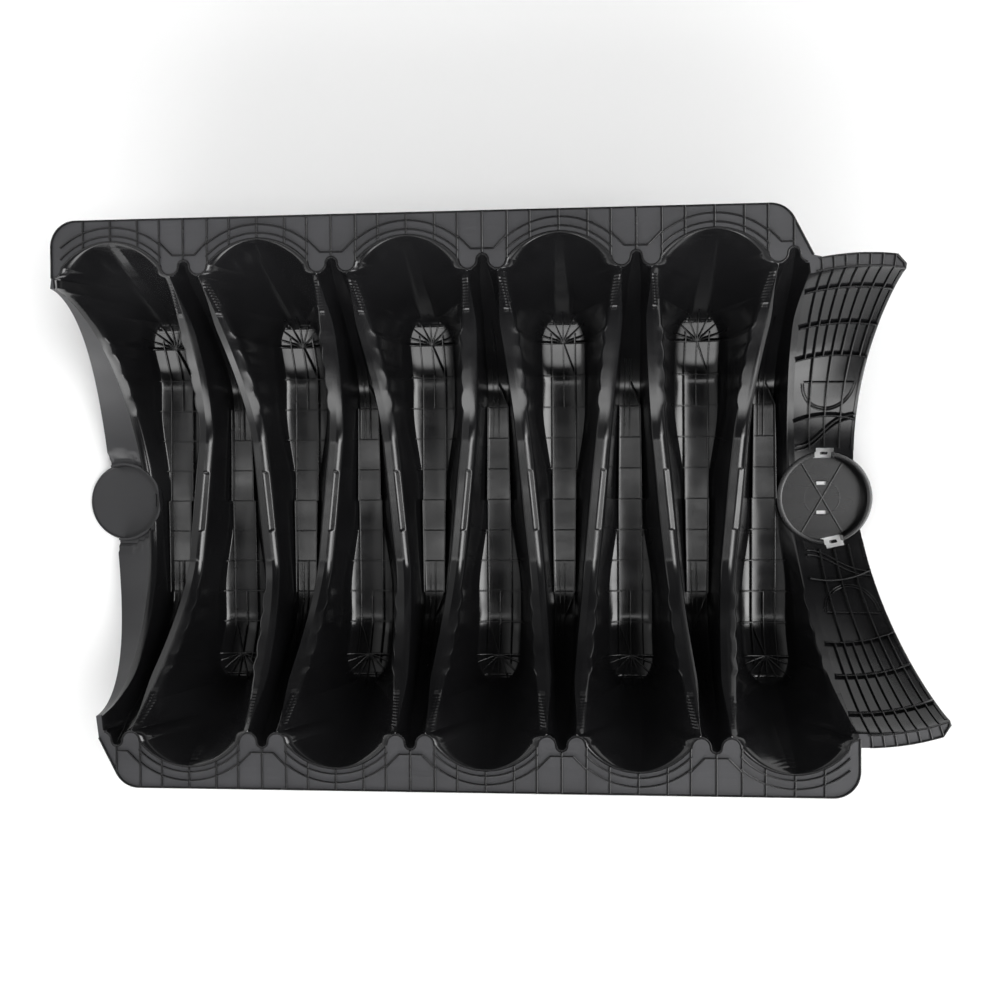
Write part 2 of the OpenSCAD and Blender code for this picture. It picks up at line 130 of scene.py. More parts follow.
class ChamberSizes(PropertyGroup):
    """Sizes of the moulding's surfaces."""
    tab_off: length("Tab offset", "From a narrow end's centre line to the middle of a tab", 0.022)
    tab_r: length("Tab radius", "Radius of a tab's tip", 0.015)
    corrugation_d: length("Corrugation depth", "From the crown down to the ridge", 0.076)
    crest_half: length("Crest half width", "From a ridge's line to its shoulder", 0.0105)
    crest_round: length("Crest drop", "How far a ridge's shoulders lie below its line", 0.0035)
    ledge_half: length("Ledge half length", "Half length of the recessed middle of a ridge", 0.050)
    ledge_drop: length("Ledge drop", "How deep the middle of a ridge is recessed", 0.0016)
    scallop: length("Scallop", "How far the scallops stand out from a ridge", 0.0042)
    scallop_pitch: length("Scallop pitch", "Length of one scallop", 0.033)
    neck_half: length("Neck half width", "Half width of a crown's floor at its narrow end", 0.0175)
    crown_half: length("Crown half width", "Half width of a crown's floor at its wide end", 0.036)
    louvre_pitch: length("Louvre pitch", "Spacing of the lines in the steep end wall", 0.0037)
    louvre_relief: length("Louvre relief", "Depth of the lines in the steep end wall", 0.0016)


class RibSizes(PropertyGroup):
    """Sizes of the ribs."""
    thickness: length("Rib thickness", "Thickness of a rib inside the crowns", 0.0022)
    crown_height: length("Crown rib height", "Height of the ribs across a crown", 0.006)
    neck_height: length("Neck rib height", "Height of the two ribs along a neck", 0.016)
    spacing: length("Rib spacing", "Spacing of the ribs across a crown", 0.0533)
    side: length("Side rib offset", "From a crown's centre line to its side ribs", 0.0195)
    flange_thickness: length("Flange rib thickness", "Thickness of the ribs on the flanges", 0.0024)
    overlap_height: length("Overlap rib height", "Height of the ribs of the overlap flange", 0.008)
    star: IntProperty(name="Star ribs", description="Ribs in a crown's star", default=7, min=3, max=15)


class FinishColours(PropertyGroup):
    """Colours and roughness of the moulded polymer; the plate colour holds painted light and the rib
    colour painted shade.
    """
    shell: colour("Shell", "Satin black of the corrugations", (0.0065, 0.0065, 0.007, 1.0))
    # The plate colour is about five times lighter than the shell's. This is painted light that stands for
    # the light the flat flange plates reflect.
    plate: colour("Plate", "Black of the flange plates, lightened as painted light", (0.036, 0.036, 0.039, 1.0))
    # The rib colour is near-black and far darker than the plates. This is painted shade, so the ribs on
    # the flanges show as dark lines.
    rib: colour("Rib", "Near-black of the ribs, painted shade beside the plates", (0.006, 0.006, 0.0065, 1.0))
    floor: colour("Floor", "Pale studio floor", (0.92, 0.92, 0.92, 1.0))
    shell_roughness: FloatProperty(name="Shell roughness", description="Roughness of the shell",
                                   default=0.17, min=0.0, max=1.0)
    plate_roughness: FloatProperty(name="Plate roughness", description="Roughness of the plates",
                                   default=0.46, min=0.0, max=1.0)


class StageLights(PropertyGroup):
    """Lights and camera."""
    key: FloatProperty(name="Key light", description="Power of the key light", default=10.0,
                       min=0.0, unit="POWER")
    fill: FloatProperty(name="Fill light", description="Power of the fill light", default=6.0,
                        min=0.0, unit="POWER")
    overhead: FloatProperty(name="Overhead strip", description="Brightness of the strip overhead",
                            default=4.0, min=0.0)
    right_box: FloatProperty(name="Right box", description="Brightness of the soft box at the right",
                             default=9.0, min=0.0)
    near_box: FloatProperty(name="Near box", description="Brightness of the soft box on the near side",
                            default=5.0, min=0.0)
    sky: FloatProperty(name="Sky", description="Strength of the surroundings", default=0.4, min=0.0)
    lens: FloatProperty(name="Lens", description="Focal length", default=39.83, min=1.0,
                        unit="CAMERA")


def sizes():
    return bpy.context.scene.chamber_sizes


def ribs():
    return bpy.context.scene.chamber_ribs


def colours():
    return bpy.context.scene.chamber_colours


# ---- plan of a corrugation: v runs along it, positive towards its wide end ----

def side(k):
    """+1 where corrugation k is wide at +Y, -1 where it is wide at -Y."""
    return 1 if k % 2 else -1


def lean():
    return PITCH / 2 - sizes().tab_off / MM


def ramp(x, low, high):
    """Smooth step from 0 at low to 1 at high."""
    t = np.clip((x - low) / (high - low), 0, 1)
    return t * t * (3 - 2 * t)


def ramp_area(x, low, high):
    """Integral of ramp from low to x."""
    span = high - low
    t = np.clip((x - low) / span, 0, 1)
    return span * (t ** 3 - t ** 4 / 2) + np.maximum(0, x - high)


def root(x):
    return np.sqrt(np.maximum(0, x))


def arch_radius(half, rise):
    return (half ** 2 + rise ** 2) / (2 * rise)


def opening_half(v):
    """Half width of a corrugation's opening, out to the edges of tabs, arch and notch."""
    tab_off, tab_r = sizes().tab_off / MM, sizes().tab_r / MM
    tab_root = TAB_Y + tab_r
    arch_half, arch_rise = PITCH - tab_off - tab_r, ARCH_Y - tab_root
    arch_r = arch_radius(arch_half, arch_rise)
    notch_r = tab_off - tab_r
    a = np.abs(v)
    tab = root(tab_r ** 2 - (tab_root - a) ** 2)
    wide = np.where(v > tab_root, root(arch_r ** 2 - (v - ARCH_Y + arch_r) ** 2),
                    PITCH - tab_off - tab)
    narrow = np.where(a > tab_root, root(notch_r ** 2 - (a - tab_root) ** 2), tab_off - tab)
    straight = PITCH / 2 + lean() * v / TAB_Y
    return np.where(a <= TAB_Y, straight, np.where(v > 0, wide, narrow))


def crest_half(v):
    """From the ridge's line to its shoulder, with the scallops beside a wide pocket."""
    s = sizes()
    a = np.abs(v)
    fade = 1 - ramp(a, TAB_Y - 75, TAB_Y)
    start = 150
    waves = np.abs(np.sin(np.pi * (v - start) / (s.scallop_pitch / MM))) ** 0.6
    scallops = waves * ramp(v, start, start + 6) * (1 - ramp(v, start + 116, start + 122))
    return s.crest_half / MM * fade + s.scallop / MM * scallops


def wall_top(v):
    """From the centre line to a corrugation's wall, where the ridge's shoulder begins."""
    return np.maximum(0, opening_half(v) - crest_half(v))


def floor_half(v):
    """Half width of the crown's floor, with a round end under the star."""
    s = sizes()
    neck, crown = s.neck_half / MM, s.crown_half / MM
    half = neck + 0.15 * neck * ramp(v, -150, 0) + (crown - 1.15 * neck) * ramp(v, 15, 165)
    wide_end = np.maximum(0.25 * root(1 - (np.maximum(0, v - 300) / (ARCH_Y - 300)) ** 2),
                          root(1 - (np.maximum(0, v - 262) / 48) ** 2))
    narrow_end = root(1 - (np.maximum(0, -v - 150) / (NOTCH_Y - 150)) ** 2)
    return np.minimum(half * np.where(v > 0, wide_end, narrow_end), 0.85 * wall_top(v))


# ---- depth of the inner surface below the flange plates ----

FULL_DEPTH = PLATE_Z - WALL


def crown_depth(v):
    """Floor of a corrugation: flat, a ramp and a steep wall at the wide end, a curve at the neck."""
    ramp_slope, ramp_from, steep_from = 0.62, (195, 245), (288, 326)
    foot = ramp_slope * ramp_area(ARCH_Y, *ramp_from)
    steep = (FULL_DEPTH - foot) / ramp_area(ARCH_Y, *steep_from)
    wide = ramp_slope * ramp_area(v, *ramp_from) + steep * ramp_area(v, *steep_from)
    a = np.abs(v)
    narrow = FULL_DEPTH * np.clip((a - 150) / (NOTCH_Y - 150), 0, 1) ** 1.8
    tilt = (0.03 * (ramp_area(-v, -200, -180) - ramp_area(-v, -20, 20))
            + 0.025 * ramp_area(-v, 30, 60))
    return FULL_DEPTH - np.where(v > 0, wide, narrow) - tilt * (1 - ramp(-v, 150, 200))


def ridge_depth(v):
    top = FULL_DEPTH - sizes().corrugation_d / MM
    return top * (1 - np.clip((np.abs(v) - 100) / (TAB_Y - 100), 0, 1) ** 1.6)


def dome_depth(x, y, axis_x, top, radius, power):
    return top * np.maximum(0, 1 - ((x - axis_x) ** 2 + y ** 2) / radius ** 2) ** power


def band_depth(x, y):
    return dome_depth(x, y, POST_X, BAND_DEPTH, BAND_R, 0.6)


def overlap_depth(x, y):
    return dome_depth(x, y, SOCKET_X, FULL_DEPTH - 13, TAB_Y - 7, 0.75)


def filleted(t, r=0.16):
    """Straight ramp from 0 to 1 whose two ends are rounded over a share r."""
    t = np.clip(t, 0, 1)
    slope = 1 / (1 - r)
    low = slope * t * t / (2 * r)
    high = 1 - slope * (1 - t) ** 2 / (2 * r)
    return np.where(t < r, low, np.where(t > 1 - r, high, slope * (t - r / 2)))


def side_depth(k, x, y, v):
    """Depth of the ridge line beside corrugation k; the two end ones rise from the end domes."""
    depth = ridge_depth(v)
    if k == 1:
        depth = np.where(x < CENTRES[0], band_depth(x, y), depth)
    if k == COUNT:
        depth = np.where(x > CENTRES[-1], overlap_depth(x, y), depth)
    return depth


def crest_drop(u, v, share):
    """Drop of a ridge beside its line: a flat facet on its left, rounded and stepped on its right."""
    s = sizes()
    half = s.crest_half / MM
    ledge = 1 - ramp(np.abs(v), s.ledge_half / MM - 1, s.ledge_half / MM + 1)
    left = 0.12 * half * share
    stepped = s.ledge_drop / MM * ramp(share, 0.1, 0.25) + 0.15 * half * share
    right = s.crest_round / MM * share ** 2 * (1 - ledge) + stepped * ledge
    return (1 - ramp(np.abs(v), TAB_Y - 75, TAB_Y - 10)) * np.where(u > 0, left, right)


def corrugation_depth(k, x, y):
    v = y * side(k)
    u = x - CENTRES[k - 1]
    a = np.abs(u)
    floor, top, edge = floor_half(v), wall_top(v), opening_half(v)
    ridge = side_depth(k, x, y, v)
    share = np.clip((edge - a) / np.maximum(1e-6, edge - top), 0, 1)
    crest = ridge + crest_drop(u, v, share)
    wall = filleted((a - floor) / np.maximum(1e-6, top - floor))
    neck = ramp(-v, -40, 20)
    trough = np.maximum(0, np.minimum(a, floor) - 8 * neck) ** 2 / (2 * (110 - 50 * neck))
    crown = np.maximum(crest, crown_depth(v) - trough)
    return np.where(a >= top, crest, crest + (crown - crest) * (1 - wall))


def louvres(k, y, depth):
    """Relief of the fine lines in the steep wall of the wide end."""
    s = sizes()
    v = y * side(k)
    wave = 1 - np.abs(((v - STEEP_FROM) / (s.louvre_pitch / MM)) % 1 * 2 - 1)
    inside = ramp(v, STEEP_FROM + 2, STEEP_FROM + 10) * (1 - ramp(v, ARCH_Y - 5, ARCH_Y - 2))
    return s.louvre_relief / MM * wave * inside * ramp(depth, 4, 12)


# ---- mesh building ----

def make_piece(name, points, faces, material, nodes=(), angle=38):
    """Piece made of points in millimetres, riding on the moulding's one body."""
    mesh = bpy.data.meshes.new(name)
    mesh.from_pydata((np.asarray(points, float) * MM).tolist(), [], [list(map(int, f)) for f in faces])
    mesh.validate()
    mesh.materials.append(material)
    piece = bpy.data.objects.new(name, mesh)
    bpy.context.scene.collection.objects.link(piece)
    clean(piece)
    finish_surface(piece, angle)
    if nodes:
        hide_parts(*nodes)
    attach(piece, "root")
    return piece


def clean(piece):
    """Joins points that coincide and turns every face outwards."""
    mesh = bmesh.new()
    mesh.from_mesh(piece.data)
    bmesh.ops.remove_doubles(mesh, verts=mesh.verts, dist=0.00002)
    bmesh.ops.dissolve_degenerate(mesh, edges=mesh.edges, dist=0.00001)
    bmesh.ops.recalc_face_normals(mesh, faces=mesh.faces)
    mesh.to_mesh(piece.data)
    mesh.free()


def finish_surface(piece, angle):
    piece.data.shade_smooth()
    piece.data.set_sharp_from_angle(angle=math.radians(angle))


def cut(piece, cutters, angle=38):
    """Cuts closed tools out of a piece and leaves no modifier on it."""
    for tool in cutters:
        modifier = piece.modifiers.new("cut", "BOOLEAN")
        modifier.operation = "DIFFERENCE"
        modifier.solver = "EXACT"
        modifier.object = tool
    evaluated = piece.evaluated_get(bpy.context.evaluated_depsgraph_get())
    mesh = bpy.data.meshes.new_from_object(evaluated)
    old = piece.data
    piece.modifiers.clear()
    piece.data = mesh
    bpy.data.meshes.remove(old)
    for tool in cutters:
        bpy.data.objects.remove(tool)
    finish_surface(piece, angle)


def tool_object(points, faces):
    mesh = bpy.data.meshes.new("tool")
    mesh.from_pydata((np.asarray(points, float) * MM).tolist(), [], faces)
    tool = bpy.data.objects.new("tool", mesh)
    bpy.context.scene.collection.objects.link(tool)
    clean(tool)
    return tool


def prism(outline, low, high):
    """Points and faces of an outline pulled up from low to high."""
    n = len(outline)
    points = [(x, y, z) for z in (low, high) for x, y in outline]
    sides = [(i, (i + 1) % n, n + (i + 1) % n, n + i) for i in range(n)]
    return points, sides + [tuple(range(n))[::-1], tuple(range(n, 2 * n))]


def circle(x, y, radius, count=128):
    turn = np.linspace(0, 2 * np.pi, count, endpoint=False)
    return [(x + radius * math.cos(a), y + radius * math.sin(a)) for a in turn]


def round_tool(x, y, radius, low=-20, high=400):
    return tool_object(*prism(circle(x, y, radius), low, high))


def block_tool(x, y, length_x, length_y, low, high, turn=0.0):
    corners = [(-1, -1), (1, -1), (1, 1), (-1, 1)]
    c, s = math.cos(turn), math.sin(turn)
    outline = [(x + c * a * length_x / 2 - s * b * length_y / 2,
                y + s * a * length_x / 2 + c * b * length_y / 2) for a, b in corners]
    return tool_object(*prism(outline, low, high))


def clear_pivot(piece, k):
    """Cuts the pivot post or socket out of a piece of the first or last corrugation."""
    if k == 1:
        cut(piece, [round_tool(POST_X, 0, POST_R)])
    if k == COUNT:
        cut(piece, [round_tool(SOCKET_X, 0, COLLAR_R)])


def slab_mesh(x, y, top, bottom):
    """Closed skin between two height fields on one grid."""
    rows, columns = x.shape
    n = rows * columns
    points = np.concatenate([np.stack([x, y, top], -1).reshape(-1, 3),
                             np.stack([x, y, bottom], -1).reshape(-1, 3)])
    index = np.arange(n).reshape(rows, columns)
    a, b, c, d = index[:-1, :-1], index[:-1, 1:], index[1:, 1:], index[1:, :-1]
    upper = np.stack([a, b, c, d], -1).reshape(-1, 4)
    lower = np.stack([a, d, c, b], -1).reshape(-1, 4) + n
    rim = np.concatenate([index[0, :], index[1:, -1], index[-1, -2::-1], index[-2:0:-1, 0]])
    after = np.roll(rim, -1)
    sides = np.stack([rim, rim + n, after + n, after], -1)
    return points, np.concatenate([upper, lower, sides])


def skin(depth, x, y, relief=None):
    """Closed skin, one wall thick, whose inner surface follows a depth function."""
    step = 1.0
    inner = depth(x, y)
    slope_x = (depth(x + step, y) - depth(x - step, y)) / (2 * step)
    slope_y = (depth(x, y + step) - depth(x, y - step)) / (2 * step)
    drop = WALL * np.minimum(3.5, np.sqrt(1 + slope_x ** 2 + slope_y ** 2))
    bottom = np.maximum(0, PLATE_Z - inner - drop)
    if relief is not None:
        inner = inner + relief(y, inner)
    top = np.maximum(PLATE_Z - inner, bottom + 0.8)
    return slab_mesh(x, y, top, bottom)


class Ribs:
    """Collects ribs, each a thin bar with a rounded top that follows a path over a surface."""

    def __init__(self):
        self.points, self.faces, self.count = [], [], 0

    def add(self, points, faces):
        self.points.append(np.asarray(points, float))
        self.faces += [tuple(i + self.count for i in face) for face in faces]
        self.count += len(points)

    def bar(self, path, surface, height, thickness, sink=1.0, ends=(1.0, 1.0)):
        """Rib along path; height may taper between the two shares given in ends."""
        path = np.asarray(path, float)
        along = np.gradient(path, axis=0)
        along /= np.maximum(1e-9, np.linalg.norm(along, axis=1))[:, None]
        across = np.stack([-along[:, 1], along[:, 0]], -1)
        z = surface(path[:, 0], path[:, 1])
        share = np.linspace(*ends, len(path))
        profile = [(-0.5, None), (-0.5, 0.0), (-0.42, 0.75), (-0.2, 1.0), (0.2, 1.0), (0.42, 0.75),
                   (0.5, 0.0), (0.5, None)]
        round_top = min(0.9, height * 0.4)
        rings = []
        for offset, level in profile:
            flat = path + across * offset * thickness
            lift = -sink if level is None else height * share - round_top * (1 - level)
            rings.append(np.column_stack([flat, z + lift]))
        n, m = len(path), len(profile)
        points = np.stack(rings, 1).reshape(-1, 3)
        faces = [(i * m + j, i * m + (j + 1) % m, (i + 1) * m + (j + 1) % m, (i + 1) * m + j)
                 for i in range(n - 1) for j in range(m)]
        faces += [tuple(range(m)), tuple(range((n - 1) * m, n * m))[::-1]]
        self.add(points, faces)

    def piece(self, name, material, nodes=()):
        return make_piece(name, np.concatenate(self.points), self.faces, material, nodes)


def line(start, end, count=12):
    return np.linspace(start, end, count)


def arc(x, y, radius, start, end, count=24):
    turn = np.radians(np.linspace(start, end, count))
    return np.column_stack([x + radius * np.cos(turn), y + radius * np.sin(turn)])


def bezier(a, b, c, d, count=16):
    t = np.linspace(0, 1, count)[:, None]
    a, b, c, d = (np.array(p, float) for p in (a, b, c, d))
    return (1 - t) ** 3 * a + 3 * (1 - t) ** 2 * t * b + 3 * (1 - t) * t ** 2 * c + t ** 3 * d


# ---- finishes ----

def new_material(name):
    material = bpy.data.materials.new(name)
    material.use_nodes = True
    tree = material.node_tree
    return material, tree, tree.nodes["Principled BSDF"]


def noise(tree, scale, detail, stretch=(1, 1, 1)):
    coordinates = tree.nodes.new("ShaderNodeTexCoord")
    mapping = tree.nodes.new("ShaderNodeMapping")
    mapping.inputs["Scale"].default_value = stretch
    texture = tree.nodes.new("ShaderNodeTexNoise")
    texture.inputs["Scale"].default_value = scale
    texture.inputs["Detail"].default_value = detail
    tree.links.new(coordinates.outputs["Object"], mapping.inputs["Vector"])
    tree.links.new(mapping.outputs["Vector"], texture.inputs["Vector"])
    return texture.outputs["Fac"]


def remap(tree, value, low, high, from_low=0.3, from_high=0.7):
    node = tree.nodes.new("ShaderNodeMapRange")
    for name, number in (("From Min", from_low), ("From Max", from_high),
                         ("To Min", low), ("To Max", high)):
        node.inputs[name].default_value = number
    tree.links.new(value, node.inputs["Value"])
    return node.outputs["Result"]


def maths(tree, operation, a, b):
    node = tree.nodes.new("ShaderNodeMath")
    node.operation = operation
    tree.links.new(a, node.inputs[0])
    if isinstance(b, (int, float)):
        node.inputs[1].default_value = b
    else:
        tree.links.new(b, node.inputs[1])
    return node.outputs[0]


def window(tree, value, low, high, soft=0.06):
    """1 where a value lies between two limits, fading to 0 outside them."""
    rise = remap(tree, value, 0.0, 1.0, low - soft, low + soft)
    fall = remap(tree, value, 1.0, 0.0, high - soft, high + soft)
    return maths(tree, "MULTIPLY", rise, fall)


def both(tree, a, b, strength):
    return maths(tree, "MULTIPLY", maths(tree, "MULTIPLY", a, b), strength)


def blend_colours(tree, factor, a, b):
    node = tree.nodes.new("ShaderNodeMix")
    node.data_type = "RGBA"
    node.inputs[6].default_value = a
    node.inputs[7].default_value = b
    tree.links.new(factor, node.inputs[0])
    return node.outputs[2]


def bump(tree, shader, height, distance, strength, below=None):
    node = tree.nodes.new("ShaderNodeBump")
    node.inputs["Distance"].default_value = distance
    node.inputs["Strength"].default_value = strength
    tree.links.new(height, node.inputs["Height"])
    if below:
        tree.links.new(below, node.inputs["Normal"])
    tree.links.new(node.outputs["Normal"], shader.inputs["Normal"])
    return node.outputs["Normal"]


def moulded(name, base, roughness, grain, streak, marks):
    """Moulded polymer: flow streaks, rubbed patches, fine grain and shallow waves."""
    material, tree, shader = new_material(name)
    light = tuple(min(1.0, c * marks) for c in base[:3]) + (1.0,)
    patches = noise(tree, 9.0, 5.0)
    streaks = noise(tree, 6.0, 3.0, streak)
    colour_out = blend_colours(tree, remap(tree, patches, 0.0, 1.0, 0.35, 0.75), base, light)
    tree.links.new(colour_out, shader.inputs["Base Color"])
    rough = remap(tree, streaks, roughness - 0.06, roughness + 0.10)
    tree.links.new(rough, shader.inputs["Roughness"])
    shader.inputs["IOR"].default_value = 1.49
    wave = bump(tree, shader, streaks, 0.0006, 0.35)
    bump(tree, shader, noise(tree, 900.0, 2.0), 0.00012, grain, wave)
    return material


FINISHES = {}


def finish(name):
    """The named finish, made on first use."""
    if name not in FINISHES:
        c = colours()
        recipes = {
            "satin_shell": (tuple(c.shell), c.shell_roughness, 0.25, (1.0, 3.0, 1.0), 1.6),
            # Plate finish: its lighter colour is painted light on the flat plates.
            "plate_painted_light": (tuple(c.plate), c.plate_roughness, 0.5, (1.0, 30.0, 1.0), 1.5),
            # Rib finish: near-black painted shade for the ribs' dark lines. The collar, socket floor,
            # hooks and other nodes share it.
            "rib_black_painted_shade": (tuple(c.rib), c.shell_roughness + 0.06, 0.25, (1.0, 3.0, 1.0), 1.5),
            # The band takes 0.62 of the plate colour, so it carries part of the plate's painted light.
            "smooth_band": (tuple(v * 0.62 for v in tuple(c.plate)[:3]) + (1.0,), 0.42, 0.3,
                            (1.0, 4.0, 1.0), 1.2),
        }
        FINISHES[name] = moulded(name, *recipes[name])
    return FINISHES[name]


# ---- operators ----

class CHAMBER_OT_corrugations(Operator):
    """Build the tapered corrugations with their crests, scallops and louvre lines"""
    bl_idname = "chamber.corrugations"
    bl_label = "Corrugations"

    def rows(self):
        tab_root = TAB_Y + sizes().tab_r / MM
        ledge = sizes().ledge_half / MM
        louvre = sizes().louvre_pitch / MM / 2
        narrow = -np.concatenate([
            NOTCH_Y - (NOTCH_Y - tab_root) * (1 - np.cos(np.linspace(0, np.pi / 2, 7))),
            np.linspace(tab_root, TAB_Y, 9)[1:]])
        straight = np.concatenate([np.arange(-TAB_Y + 3, STEEP_FROM, 4.0),
                                   [-ledge - 1, -ledge + 1, ledge - 1, ledge + 1]])
        steep = np.arange(STEEP_FROM, tab_root - 1, louvre)
        arch = ARCH_Y - (ARCH_Y - tab_root) * (1 - np.sin(np.linspace(0, np.pi / 2, 30)))
        return np.unique(np.round(np.concatenate([narrow, straight, steep, arch]), 3))

    def grid(self, k):
        """Plan points of corrugation k: rows along it, columns across floor, walls and crests."""
        v = self.rows()[:, None]
        floor, top, edge = floor_half(v), wall_top(v), opening_half(v)
        shares = np.array([0.04, 0.1, 0.17, 0.27, 0.4, 0.55, 0.7, 0.8, 0.87, 0.94])
        crest = np.array([0.0, 0.08, 0.25, 0.5, 0.75, 1.0])
        half = np.concatenate([floor * np.array([[0.2, 0.4, 0.6, 0.8, 1.0]]),
                               floor + (top - floor) * shares[None, :],
                               top + (edge - top) * crest[None, :]], 1)
        u = np.concatenate([-half[:, ::-1], np.zeros_like(v), half], 1)
        return CENTRES[k - 1] + u, np.repeat(v * side(k), u.shape[1], 1)

    def execute(self, context):
        for k in range(1, COUNT + 1):
            x, y = self.grid(k)
            points, faces = skin(lambda a, b: corrugation_depth(k, a, b), x, y,
                                 lambda b, depth: louvres(k, b, depth))
            piece = make_piece(f"corrugation_{k}_skin", points, faces, finish("satin_shell"),
                               (f"corrugation_{k}",))
            clear_pivot(piece, k)
        return {"FINISHED"}


class CHAMBER_OT_crown_ribs(Operator):
    """Build the ribs across and along each crown, its star and its neck ribs"""
    bl_idname = "chamber.crown_ribs"
    bl_label = "Crown ribs"

    def execute(self, context):
        for k in range(1, COUNT + 1):
            self.crown(k)
        return {"FINISHED"}

    def crown(self, k):
        r = ribs()
        s, cx = side(k), CENTRES[k - 1]
        pitch, off, thick = r.spacing / MM, r.side / MM, r.thickness / MM
        low, neck = r.crown_height / MM, r.neck_height / MM
        group = Ribs()

        def surface(x, y):
            return PLATE_Z - corrugation_depth(k, x, y)

        def rib(start, end, height, count=14, **more):
            """Rib between two points given as (across, along); along is positive at the wide end."""
            path = line(start, end, count) * (1, s) + (cx, 0)
            group.bar(path, surface, height, thick, **more)

        for i in range(-3, 6):
            v = i * pitch
            reach = float(floor_half(np.array(v))) + (5 if i >= 0 else 1.5)
            rib((-reach, v), (reach, v), low, 24)
        star_v = 5 * pitch
        rib((0, star_v), (0, 3 * pitch), low, 20)
        for across in (-off, off):
            rib((across, star_v + 12), (across, 0), low, 40)
            rib((across, 0), (across * 0.9, -3 * pitch), neck, 24)
        rib((off * 0.9, -3 * pitch), (off * 0.1, -3 * pitch - 38), neck, 12, ends=(1.0, 0.35))
        rib((0, -2 * pitch), (0, -5.4 * pitch), low, 30)
        rib((-off * 0.45, -2 * pitch), (-off * 0.4, -4.6 * pitch), low * 0.6, 24)
        rib((0, star_v), (off * s, 4 * pitch), low, 12)
        for i in range(r.star):
            turn = math.radians(-72 + 144 * i / (r.star - 1))
            end = (46 * math.sin(turn), star_v + 46 * math.cos(turn))
            rib((0, star_v), end, low, 16, ends=(1.0, 0.5))
        piece = group.piece(f"crown_ribs_{k}_bars", finish("rib_black_painted_shade"), (f"crown_ribs_{k}",))
        clear_pivot(piece, k)


def edge_line(edge_x, bow, y):
    """Outer edge of an end dome in plan."""
    return edge_x - lean() * y / TAB_Y + bow * (y / TAB_Y) ** 2


def dome_grid(ridge_k, edge_x, bow, axis_x, radius, s, rows=90, columns=28):
    """Plan points from the pivot's level to the foot on one side, from the ridge to the edge."""
    def ridge_x(y):
        centre = CENTRES[0] - PITCH if ridge_k == 0 else CENTRES[-1]
        tilt = -1 if ridge_k == 0 else side(ridge_k)
        return centre + PITCH / 2 + lean() * tilt * y / TAB_Y

    def at_radius(curve):
        y = s * radius
        for _ in range(12):
            y = s * math.sqrt(radius ** 2 - (curve(y) - axis_x) ** 2)
        return curve(y)

    a = at_radius(ridge_x)
    b = at_radius(lambda y: edge_line(edge_x, bow, y))
    t = np.linspace(0, 1, columns)[None, :]
    foot_x = a + (b - a) * t
    f = np.sin(np.linspace(0, np.pi / 2, rows))[:, None]
    y = s * np.sqrt(radius ** 2 - (foot_x - axis_x) ** 2) * f
    x = ridge_x(y) * (1 - t) + edge_line(edge_x, bow, y) * t
    x[-1, :] = foot_x[0, :]
    return x, y


class CHAMBER_OT_end_band(Operator):
    """Build the smooth end band, its collar steps and the pivot post"""
    bl_idname = "chamber.end_band"
    bl_label = "End band and post"

    def execute(self, context):
        for s, name in ((1, "a"), (-1, "b")):
            x, y = dome_grid(0, BAND_EDGE, BAND_BOW, POST_X, BAND_R, s)
            points, faces = skin(self.depth, x, y)
            piece = make_piece(f"end_band_{name}_skin", points, faces, finish("smooth_band"),
                               (f"end_band_{name}",))
            cut(piece, [round_tool(POST_X, 0, POST_R)])
        self.post()
        return {"FINISHED"}

    def depth(self, x, y):
        """The band with two shallow steps down to the post."""
        r = np.hypot(x - POST_X, y)
        steps = 5 * (1 - ramp(r, 86, 88)) + 6 * (1 - ramp(r, 77, 79))
        return band_depth(x, y) + steps

    def post(self):
        """Disc with a soft rim and a latch pocket."""
        low = POST_TOP - WALL
        profile = [(0, POST_TOP), (POST_R - 6, POST_TOP), (POST_R - 3.5, POST_TOP - 0.5),
                   (POST_R - 2.2, POST_TOP + 0.9), (POST_R - 0.8, POST_TOP + 0.7),
                   (POST_R, POST_TOP - 0.4), (POST_R, low + 0.8), (POST_R - 0.8, low), (0, low)]
        piece = lathe("pivot_post_disc", POST_X, 0, profile, finish("smooth_band"), ("pivot_post",))
        cut(piece, [block_tool(POST_X + 56, 2, 12, 24, POST_TOP - 2.4, POST_TOP + 5),
                    block_tool(POST_X + 47.5, 9.5, 3, 3, POST_TOP - 1, POST_TOP + 5),
                    block_tool(POST_X + 47.5, -6, 3, 3, POST_TOP - 1, POST_TOP + 5)])


def lathe(name, x, y, profile, material, nodes=(), count=160):
    """Piece turned about an upright axis from a profile of (radius, height)."""
    turn = np.linspace(0, 2 * np.pi, count, endpoint=False)
    points, rings = [], []
    for radius, z in profile:
        if radius < 1e-6:
            rings.append([len(points)])
            points.append((x, y, z))
        else:
            rings.append(list(range(len(points), len(points) + count)))
            points += [(x + radius * math.cos(a), y + radius * math.sin(a), z) for a in turn]
    faces = []
    closed = len(rings[0]) > 1
    pairs = list(zip(rings, rings[1:] + (rings[:1] if closed else [])))
    for a, b in (pairs if closed else pairs[:len(rings) - 1]):
        for i in range(count):
            j = (i + 1) % count
            if len(a) == 1:
                faces.append((a[0], b[i], b[j]))
            elif len(b) == 1:
                faces.append((a[i], b[0], a[j]))
            else:
                faces.append((a[i], b[i], b[j], a[j]))
    return make_piece(name, points, faces, material, nodes)


